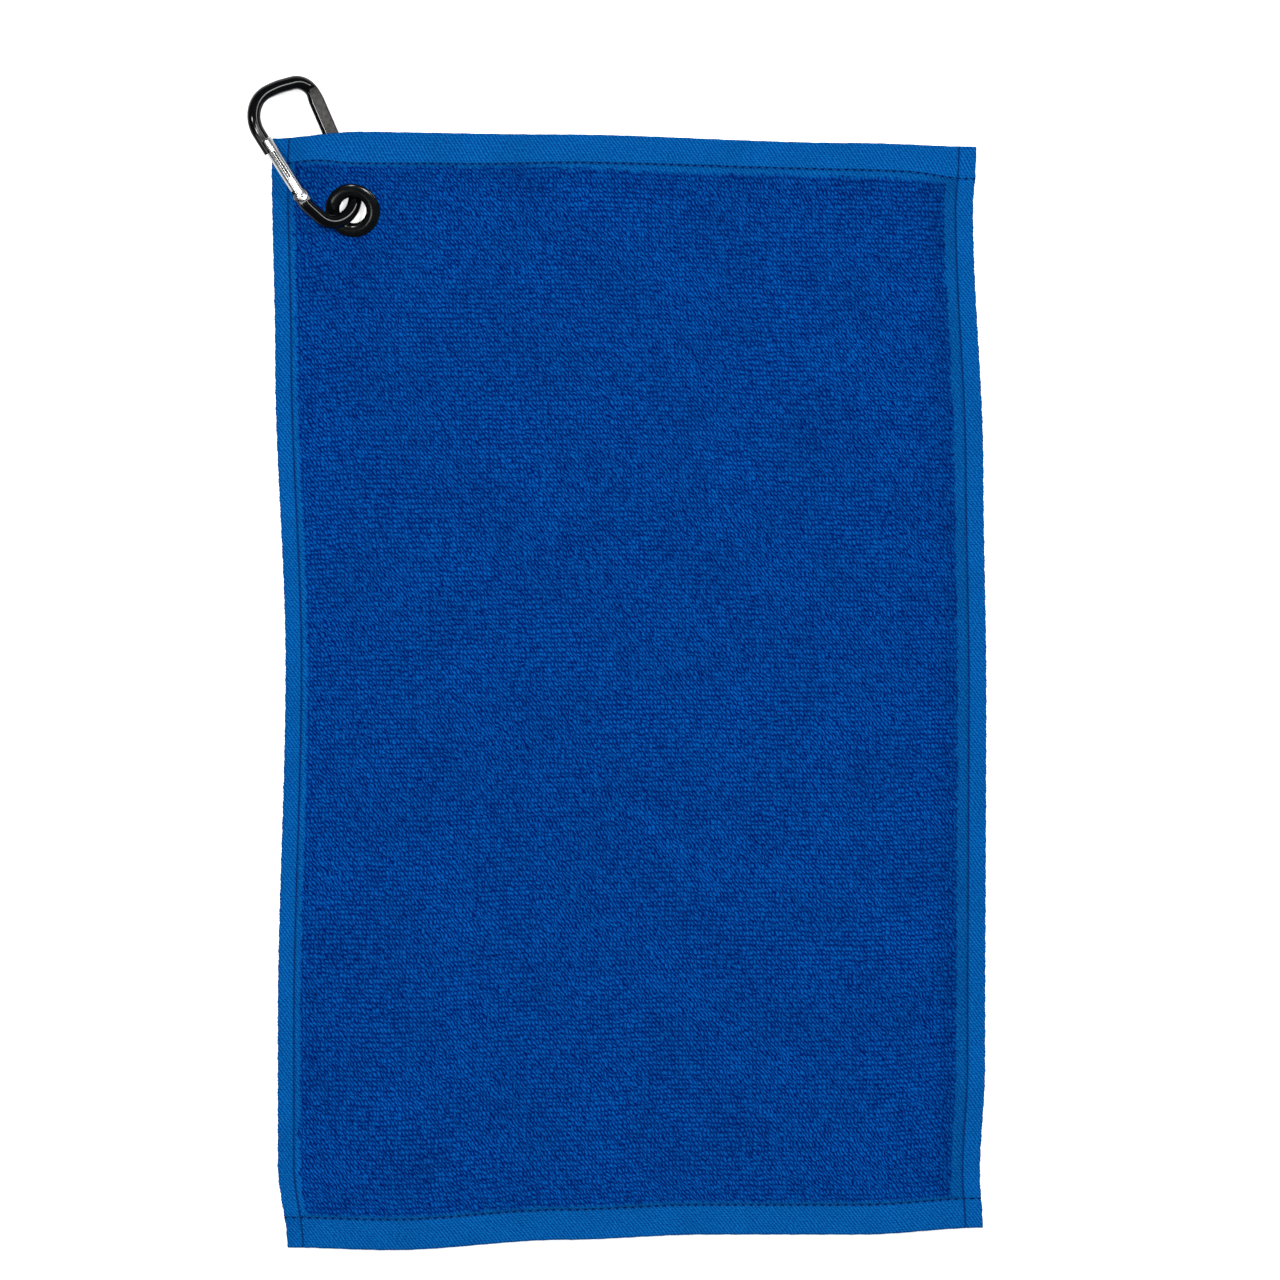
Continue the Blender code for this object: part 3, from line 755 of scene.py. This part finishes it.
grommet = {
    "radius": 16.0 * mm,
    "hole": 7.9 * mm,
    "crest": 2.5 * mm,
    "foot": -2.1 * mm,
    "barrel": 10.4 * mm,
    "half": 1.25 * mm,
    "washer": 15.6 * mm,
    "washerHole": 11.1 * mm,
    "steps": 128,
    "black": (0.0008, 0.0010, 0.0012),
    "hazy": (0.0022, 0.0028, 0.0030),
}


def arcPoints(centre, size, start, end, count):
    # points on an arc or an oval's arc, from start to end degrees
    angles = np.radians(np.linspace(start, end, count + 1))
    return [(centre[0] + size[0] * math.cos(a), centre[1] + size[1] * math.sin(a)) for a in angles]


def spun(name, profile, finish, place, steps=128, sharp=40, closed=True):
    # a profile of (radius, height) points turned all the way round its axis
    bm = bmesh.new()
    verts = [bm.verts.new((radius, 0, height)) for radius, height in profile]
    pairs = list(zip(verts, verts[1:])) + ([(verts[-1], verts[0])] if closed else [])
    edges = [bm.edges.new(pair) for pair in pairs]
    bmesh.ops.spin(bm, geom=verts + edges, cent=(0, 0, 0), axis=(0, 0, 1), angle=math.tau, steps=steps,
                   use_merge=True)
    bmesh.ops.remove_doubles(bm, verts=bm.verts[:], dist=0.002 * mm)
    bmesh.ops.transform(bm, matrix=place, verts=bm.verts[:])
    return toMesh(name, bm, finish, sharp)


def plasticFinish():
    shader = Shader("grommetBlack", Specular_IOR_Level=0.14)
    place = shader.object()
    haze = shader.noise(place, 160.0, 4.0, 0.6)
    scuff = shader.noise(place, 1200.0, 2.0, 0.6)
    color = shader.blend(haze.rise(0.35, 0.8), grommet["black"], grommet["hazy"])
    rough = 0.12 + 0.08 * haze + 0.03 * scuff
    relief = shader.bump(haze + scuff * 0.2, 0.05 * mm, 0.35)
    return shader.paint(Base_Color=color, Roughness=rough, Normal=relief)


def makeGrommet():
    finish = plasticFinish()
    turn = Matrix.Rotation(lift["heading"] + lift["uphill"], 4, "Z") @ Matrix.Rotation(-lift["tilt"], 4, "Y")
    place = Matrix.Translation(lift["centre"]) @ turn
    half = grommet["half"]
    crest = grommet["crest"]
    foot = grommet["foot"]
    outer = grommet["radius"]
    lip = (crest - foot) / 2
    middle = (grommet["hole"] + outer) / 2
    face = arcPoints((middle, half), (outer - middle, crest - half), 90, 0, 20)
    roll = arcPoints((grommet["hole"] + lip, (crest + foot) / 2), (lip, lip), 270, 180, 12)
    throat = arcPoints((middle, (crest + foot) / 2), (middle - grommet["hole"], lip), 180, 90, 20)
    barrel = grommet["barrel"]
    profile = [*face, (outer - 0.3 * mm, half - 0.25 * mm), (outer - 0.8 * mm, half - 0.25 * mm),
               (outer - 0.8 * mm, half), (barrel, half), (barrel, -half),
               (barrel + 0.3 * mm, foot + 0.3 * mm), *roll, *throat]
    front = spun("grommetFront", profile, finish, place, grommet["steps"])
    addPiece("grommetFront", front, "towel", "grommet_plastic", "grommet_front")
    rim = grommet["washer"]
    inner = grommet["washerHole"]
    washer = [(rim - 0.3 * mm, -half), (rim - 0.05 * mm, -half - 0.1 * mm), (rim, -half - 0.35 * mm),
              (rim - 0.12 * mm, foot + 0.12 * mm), (rim - 0.4 * mm, foot), (inner, foot), (inner, -half)]
    back = spun("grommetBack", washer, finish, place, grommet["steps"])
    addPiece("grommetBack", back, "towel", "grommet_plastic", "grommet_back")


# Carabiner, in its own plane: u from the gate across to the spine, v along the spine, w out of the plane

carabiner = {
    # the rod's centre line: corners and the radius of each bend, in mm
    "corners": ((-27.4, 19.2, 0.0), (-26.4, 13.4, 14.0), (-18.2, -2.6, 11.5), (6.5, -2.6, 16.5),
                (6.6, 80.2, 11.0), (-13.0, 82.6, 45.0), (-39.4, 81.4, 17.5), (-33.9, 49.5, 0.0)),
    "rod": (4.0 * mm, 3.4 * mm),
    "spine": (4.3 * mm, 2.7 * mm),
    "spineFrom": 7.0 * mm,
    "spineTo": 66.0 * mm,
    "spineBlend": 8.0 * mm,
    "spineFree": 4.9 * mm,
    "spineWidens": (28.0 * mm, 38.0 * mm),
    "flatTop": 2.05 * mm,
    "flatFrom": (30.0 * mm, 38.0 * mm),
    "flatTo": (78.0 * mm, 70.0 * mm),
    "sides": 48,
    "step": 1.1,
    "shoulder": -4.3 * mm,
    "tongue": (3.9 * mm, 1.4 * mm),
    "faceFrom": -6 * mm,
    "facePressed": 1.6 * mm,
    "wornWhere": (3.4 * mm, 2.6 * mm),
    "wornColor": (0.030, 0.029, 0.027),
    "black": (0.0005, 0.0005, 0.0008),
    "blackRipple": (0.0014, 0.0014, 0.0018),
}
gate = {
    "pivot": Vector((-27.4, 19.2, 0.0)) * mm,
    "lean": math.radians(9.9),
    "radius": 3.5 * mm,
    "length": 38.6 * mm,
    "bore": 2.2 * mm,
    "boreEnd": 33.0 * mm,
    "earSlot": 1.75 * mm,
    "earSlotEnd": 4.9 * mm,
    "window": (12.5 * mm, 31.0 * mm),
    "windowAt": -1.35 * mm,
    "windowHalf": 0.9 * mm,
    "rivet": 1.0 * mm,
    "rivetHead": 1.4 * mm,
    "rivetRise": 0.25 * mm,
    "gap": 0.3 * mm,
    "endBevel": 0.7 * mm,
    "heelBevel": 0.5 * mm,
    # radius and place along the gate
    "plunger": ((0, 9.0 * mm), (1.4 * mm, 9.0 * mm), (1.6 * mm, 8.8 * mm), (1.6 * mm, 4.9 * mm),
                (1.1 * mm, 4.4 * mm), (0, 4.3 * mm)),
    "springSpan": (9.6 * mm, 32.4 * mm),
    "springRadius": 1.55 * mm,
    "springWire": 0.27 * mm,
    "springTurns": 13,
    "silver": ((0.38, 0.38, 0.37), (0.27, 0.27, 0.28)),
    "steel": ((0.22, 0.22, 0.23), (0.12, 0.12, 0.13)),
}
toolReach = 12 * mm  # how far the cutting shapes go past what they cut


def carabinerPlane():
    # the plane's axes and origin, worked out from the gate's hinge
    hinge = joints["gate_hinge"]
    out = -Vector(hinge["axis"]).normalized()
    along = Vector((-out.y, out.x, 0)).normalized()
    across = along.cross(out)
    origin = Vector(hinge["pos_m"]) - across * gate["pivot"].x - along * gate["pivot"].y
    turn = Matrix((across, along, out)).transposed().to_4x4()
    return Matrix.Translation(origin) @ turn


def roundedPath(corners, step):
    # points along straight runs and round bends, about a step apart, in mm
    points = [Vector(corners[0][:2])]

    def runTo(end):
        start = points[-1]
        count = max(1, round((end - start).length / step))
        points.extend(start.lerp(end, n / count) for n in range(1, count + 1))

    for before, corner, after in zip(corners, corners[1:], corners[2:]):
        centre = Vector(corner[:2])
        back = (Vector(before[:2]) - centre).normalized()
        ahead = (Vector(after[:2]) - centre).normalized()
        half = back.angle(ahead) / 2
        hub = centre + (back + ahead).normalized() * corner[2] / math.sin(half)
        start = centre + back * corner[2] / math.tan(half) - hub
        sweep = start.angle_signed(centre + ahead * corner[2] / math.tan(half) - hub)
        count = max(2, round(abs(sweep) * corner[2] / step))
        runTo(hub + start)
        points.extend(hub + Matrix.Rotation(-sweep * n / count, 2) @ start for n in range(1, count + 1))
    runTo(Vector(corners[-1][:2]))
    return points


def rodSize(u, v):
    inside = smoothStep((v - carabiner["spineFrom"]) / carabiner["spineBlend"])
    beyond = carabiner["spineTo"] + carabiner["spineBlend"]
    inside = inside * smoothStep((beyond - v) / carabiner["spineBlend"])
    inside = float(inside) if u > 0 else 0.0
    wide, tall = carabiner["spine"]
    wide += (carabiner["spineFree"] - wide) * float(between(*carabiner["spineWidens"], v))
    return Vector(carabiner["rod"]).lerp(Vector((wide, tall)), inside)


def flatFace(v):
    # how high the spine's face may stand: it is pressed flat above the cloth
    inside = between(*carabiner["flatFrom"], v) * between(*carabiner["flatTo"], v)
    return carabiner["flatTop"] + (1 - inside) * carabiner["facePressed"]


def sweptRod(path):
    # an oval ring moved along the path, one extrusion at a time
    frames = []
    for n, point in enumerate(path):
        ahead = path[min(n + 1, len(path) - 1)] - path[max(n - 1, 0)]
        ahead = Vector((ahead.x, ahead.y, 0)).normalized()
        side = Vector((-ahead.y, ahead.x, 0))
        centre = Vector((point.x, point.y, 0)) * mm
        wide, tall = rodSize(*centre.xy)
        turn = Matrix((side, Vector((0, 0, 1)), ahead)).transposed().to_4x4()
        frames.append(Matrix.Translation(centre) @ turn @ Matrix.Diagonal((wide, tall, 1, 1)))
    bm = bmesh.new()
    bmesh.ops.create_circle(bm, cap_ends=True, segments=carabiner["sides"], radius=1.0, matrix=frames[0])
    edges = bm.edges[:]
    for now, following in zip(frames, frames[1:]):
        made = bmesh.ops.extrude_edge_only(bm, edges=edges)
        verts = vertsOf(made)
        edges = [item for item in made["geom"] if isinstance(item, bmesh.types.BMEdge)
                 and all(v in verts for v in item.verts)]
        bmesh.ops.transform(bm, matrix=following @ now.inverted(), verts=verts)
    bmesh.ops.contextual_create(bm, geom=edges)
    return bm


def toolBlock(low, high):
    low, high = Vector(low), Vector(high)
    bm = bmesh.new()
    bmesh.ops.create_cube(bm, size=1.0)
    bmesh.ops.scale(bm, vec=high - low, verts=bm.verts[:])
    bmesh.ops.translate(bm, vec=(low + high) / 2, verts=bm.verts[:])
    return bm


def toolRod(radius, low, high, lengthwise=False, sides=40):
    # a cylinder along w, or along the gate
    bm = bmesh.new()
    bmesh.ops.create_cone(bm, cap_ends=True, segments=sides, radius1=radius, radius2=radius, depth=high - low)
    bmesh.ops.translate(bm, vec=(0, 0, (low + high) / 2), verts=bm.verts[:])
    if lengthwise:
        bmesh.ops.rotate(bm, cent=(0, 0, 0), matrix=Matrix.Rotation(-math.pi / 2, 3, "X"), verts=bm.verts[:])
    return bm


def shape(name, bm, place=None):
    # an object that is only here to be cut or to cut
    if place is not None:
        bmesh.ops.transform(bm, matrix=place, verts=bm.verts[:])
    bmesh.ops.recalc_face_normals(bm, faces=bm.faces[:])
    mesh = bpy.data.meshes.new(name)
    bm.to_mesh(mesh)
    bm.free()
    return newObject(name, mesh)


def carve(piece, tools):
    # applies the cuts and joins, and takes the tools away
    for tool, operation in tools:
        step = piece.modifiers.new(tool.name, "BOOLEAN")
        step.object = tool
        step.operation = operation
        step.solver = "EXACT"
    bpy.context.view_layer.update()
    carved = bpy.data.meshes.new_from_object(piece.evaluated_get(bpy.context.evaluated_depsgraph_get()))
    for used in [piece, *[tool for tool, _ in tools]]:
        bpy.data.objects.remove(used, do_unlink=True)
    return carved


def finishCarved(name, carved, finish, place, sharp=32):
    bm = bmesh.new()
    bm.from_mesh(carved)
    bpy.data.meshes.remove(carved)
    bmesh.ops.remove_doubles(bm, verts=bm.verts[:], dist=0.004 * mm)
    bmesh.ops.dissolve_degenerate(bm, edges=bm.edges[:], dist=0.002 * mm)
    bmesh.ops.transform(bm, matrix=place, verts=bm.verts[:])
    return toMesh(name, bm, finish, sharp)


def enamelFinish():
    shader = Shader("blackEnamel", Specular_IOR_Level=0.17)
    place = shader.object()
    worn = shader.stored("worn")
    mottle = shader.noise(place, 420.0, 4.0, 0.65)
    ripples = shader.noise(place, 120.0, 3.0, 0.55)
    rubbed = (worn + (mottle - 0.5) * 0.4).rise(0.45, 0.85)
    grey = shader.scaled(carabiner["wornColor"], (mottle * 3.4 + ripples * 1.4 - 1.4).larger(0.12))
    black = shader.blend(ripples.rise(0.4, 0.75), carabiner["black"], carabiner["blackRipple"])
    rough = 0.09 + 0.06 * ripples + rubbed * 0.36
    return shader.paint(Base_Color=shader.blend(rubbed, black, grey), Roughness=rough,
                        Metallic=rubbed * 0.15,
                        Normal=shader.bump(ripples * 0.6 + mottle * rubbed * 0.8, 0.05 * mm, 0.3))


def silverFinish():
    shader = Shader("gateSilver", Metallic=1.0)
    place = shader.object()
    smear = shader.noise(place, 160.0, 3.0, 0.6)
    fine = shader.noise(place, 2400.0, 2.0, 0.6)
    color = shader.blend(smear.rise(0.3, 0.8), *gate["silver"])
    rough = 0.20 + 0.06 * smear + 0.03 * fine
    return shader.paint(Base_Color=color, Roughness=rough)


def steelFinish():
    shader = Shader("springSteel", Metallic=1.0)
    place = shader.object()
    drawn = shader.noise(place, 1800.0, 3.0, 0.6)
    stain = shader.noise(place, 260.0, 3.0, 0.6)
    color = shader.blend(stain.rise(0.3, 0.8), *gate["steel"])
    relief = shader.bump(drawn, 0.02 * mm, 0.5)
    return shader.paint(Base_Color=color, Roughness=0.24 + 0.2 * drawn, Normal=relief)


def makeFrame(plane, gatePlace):
    rod = shape("rod", sweptRod(roundedPath(carabiner["corners"], carabiner["step"])))
    wide, thin = carabiner["tongue"]
    low = carabiner["shoulder"]
    far = toolReach
    pocket = -gate["radius"] - gate["gap"]
    bevelled = toolBlock((pocket, gate["earSlotEnd"], -far), (far, gate["length"] + gate["gap"], far))
    tools = [
        (shape("overTongue", toolBlock((-far, low, thin), (far, far, far)), gatePlace), "DIFFERENCE"),
        (shape("underTongue", toolBlock((-far, low, -far), (far, far, -thin)), gatePlace), "DIFFERENCE"),
        (shape("pastTongue", toolBlock((-far, 0, -far), (far, far, far)), gatePlace), "DIFFERENCE"),
        (shape("nosePocket", bevelled, gatePlace), "DIFFERENCE"),
        (shape("tongueEnd", toolRod(wide, -thin, thin, sides=64), gatePlace), "UNION"),
        (shape("rivetHole", toolRod(gate["rivet"] + gate["gap"], -far, far), gatePlace), "DIFFERENCE"),
    ]
    carved = carve(rod, tools)
    bm = bmesh.new()
    bm.from_mesh(carved)
    for vert in bm.verts:
        if vert.co.x > carabiner["faceFrom"] and vert.co.z > 0:
            vert.co.z = min(vert.co.z, float(flatFace(vert.co.y)))
    bm.to_mesh(carved)
    bm.free()
    mesh = finishCarved("carabinerFrame", carved, enamelFinish(), Matrix.Identity(4))
    place = placesOf(mesh)
    limit = flatFace(place[:, 1])
    onFace = (place[:, 2] > limit - 0.02 * mm) & (place[:, 0] > carabiner["faceFrom"])
    store(mesh, "worn", onFace * between(*carabiner["wornWhere"], limit))
    mesh.transform(plane)
    return addPiece("carabinerFrame", mesh, "carabiner", "black_enamel", "carabiner_frame")


def makeGate(plane, gatePlace):
    place = plane @ gatePlace
    radius = gate["radius"]
    far = toolReach
    tube = toolRod(radius, 0.0, gate["length"], True, 64)
    ends = [edge for edge in tube.edges if all(abs(v.co.y - gate["length"]) < 0.01 * mm for v in edge.verts)]
    roundOff(tube, ends, gate["endBevel"], 4)
    heelTop = radius * 0.86
    heel = toolRod(radius, -heelTop, heelTop, sides=64)
    rims = [edge for edge in heel.edges if abs(edge.verts[0].co.z - edge.verts[1].co.z) < 0.01 * mm]
    roundOff(heel, rims, gate["heelBevel"], 3)
    start, end = gate["window"]
    half = gate["windowHalf"]
    at = gate["windowAt"]
    window = toolBlock((at - half, start, 0), (at + half, end, far))
    corners = [edge for edge in window.edges if abs(edge.verts[0].co.z - edge.verts[1].co.z) > mm]
    roundOff(window, corners, half * 0.96, 5)
    slotEnd = gate["earSlotEnd"]
    slotHalf = gate["earSlot"]
    tools = [
        (shape("heel", heel), "UNION"),
        (shape("earSlot", toolBlock((-far, -far, -slotHalf), (far, slotEnd, slotHalf))), "DIFFERENCE"),
        (shape("bore", toolRod(gate["bore"], slotEnd - mm, gate["boreEnd"], True)), "DIFFERENCE"),
        (shape("window", window), "DIFFERENCE"),
        (shape("rivetHole", toolRod(gate["rivet"] + gate["gap"], -far, far)), "DIFFERENCE"),
    ]
    carved = carve(shape("sleeve", tube), tools)
    mesh = finishCarved("gateSleeve", carved, silverFinish(), place)
    addPiece("gateSleeve", mesh, "gate", "gate_metal", "gate_sleeve")

    steel = steelFinish()
    base = radius + gate["gap"]
    head = gate["rivetHead"]
    rise = gate["rivetRise"]
    dome = arcPoints((0, base + 0.15 * mm), (head, rise - 0.15 * mm), 90, 0, 12)
    profile = [*dome, (head - 0.1 * mm, base), (gate["rivet"], base)]
    profile = profile + [(r, -h) for r, h in reversed(profile)]
    rivet = spun("gateRivet", profile, steel, place, 48, 40, False)
    addPiece("gateRivet", rivet, "carabiner", "spring_steel", "gate_pivot_rivet")

    lengthwise = Matrix.Rotation(-math.pi / 2, 4, "X")
    plunger = spun("gatePlunger", gate["plunger"], steel, place @ lengthwise, 40, 30, False)
    addPiece("gatePlunger", plunger, "gate", "spring_steel", "gate_plunger")
    addPiece("gateSpring", coil(steel, place), "gate", "spring_steel", "gate_spring")


def coil(finish, place):
    # a wire ring screwed along the gate's bore
    low, high = gate["springSpan"]
    turns = gate["springTurns"]
    steps = turns * 20
    bm = bmesh.new()
    start = Matrix.Translation((gate["springRadius"], low, 0))
    made = bmesh.ops.create_circle(bm, cap_ends=True, segments=8, radius=gate["springWire"], matrix=start)
    rings = bm.edges[:]
    step = (0, (high - low) / steps, 0)
    bmesh.ops.spin(bm, geom=made["verts"] + rings + bm.faces[:], cent=(0, 0, 0), axis=(0, 1, 0), dvec=step,
                   angle=math.tau * turns, steps=steps, use_duplicate=False)
    bmesh.ops.remove_doubles(bm, verts=bm.verts[:], dist=0.001 * mm)
    bmesh.ops.transform(bm, matrix=place, verts=bm.verts[:])
    return toMesh("gateSpring", bm, finish, 50)


# Floor, light and camera

studio = {
    "floor": 0.96,
    "world": (0.92, 0.96, 1.0),
    "worldStrength": 0.22,
    "aim": (-0.08, 0.14, 0.0),
    # name, place, size, power in watts
    "lamps": (
        ("overhead", (0.0, 0.03, 13.0), 2.20, 1330),
        ("upperLeft", (-1.25, 1.15, 3.0), 0.45, 58),
        ("upperRight", (1.20, 1.05, 3.0), 0.45, 40),
        ("right", (2.30, 1.20, 1.9), 0.70, 30),
        ("lowerLeft", (-1.70, -1.20, 2.4), 0.60, 14),
    ),
}
camera = {
    "above": (0.0052, 0.029),
    "height": 12.36,
    "lens": 600,
}


def makeStudio():
    shader = Shader("paleFloor", Roughness=0.9, Specular_IOR_Level=0.1)
    patches = shader.noise(shader.object(), 3.0, 3.0)
    tone = shader.blend(patches, (studio["floor"],) * 3, (studio["floor"] * 0.985,) * 3)
    shader.paint(Base_Color=tone)
    bm = bmesh.new()
    bmesh.ops.create_grid(bm, x_segments=4, y_segments=4, size=5.0)
    bmesh.ops.translate(bm, vec=(0, 0, cadBox[0][2] - 0.25 * mm), verts=bm.verts[:])
    newObject("floor", toMesh("floor", bm, shader.material))

    world = bpy.data.worlds.new("studio")
    world.use_nodes = True
    sky = world.node_tree.nodes["Background"]
    sky.inputs["Color"].default_value = (*studio["world"], 1.0)
    sky.inputs["Strength"].default_value = studio["worldStrength"]
    bpy.context.scene.world = world

    for name, place, size, power in studio["lamps"]:
        lamp = bpy.data.lights.new(name, "AREA")
        lamp.shape = "DISK"
        lamp.size = size
        lamp.energy = power
        holder = newObject(name, lamp)
        holder.location = place
        holder.rotation_euler = (Vector(studio["aim"]) - Vector(place)).to_track_quat("-Z", "Y").to_euler()

    eye = bpy.data.cameras.new("camera")
    eye.lens = camera["lens"]
    eye.sensor_width = 36
    eye.clip_start = 0.05
    eye.clip_end = 50
    holder = newObject("camera", eye)
    holder.location = (*camera["above"], camera["height"])
    bpy.context.scene.camera = holder
    bpy.context.scene.view_settings.view_transform = "Standard"


makeStudio()
print("studio ready")
terryPanel = makeTerry()
print("terry laid,", len(terryPanel.data.polygons), "faces")
hems = makeHems()
print("hems folded and laid")
stitches = makeStitches()
print("seams sewn")
makeGrommet()
print("grommet set")
plane = carabinerPlane()
gatePlace = Matrix.Translation(gate["pivot"]) @ Matrix.Rotation(gate["lean"], 4, "Z")
makeFrame(plane, gatePlace)
makeGate(plane, gatePlace)
print("carabiner built")

bpy.context.view_layer.update()
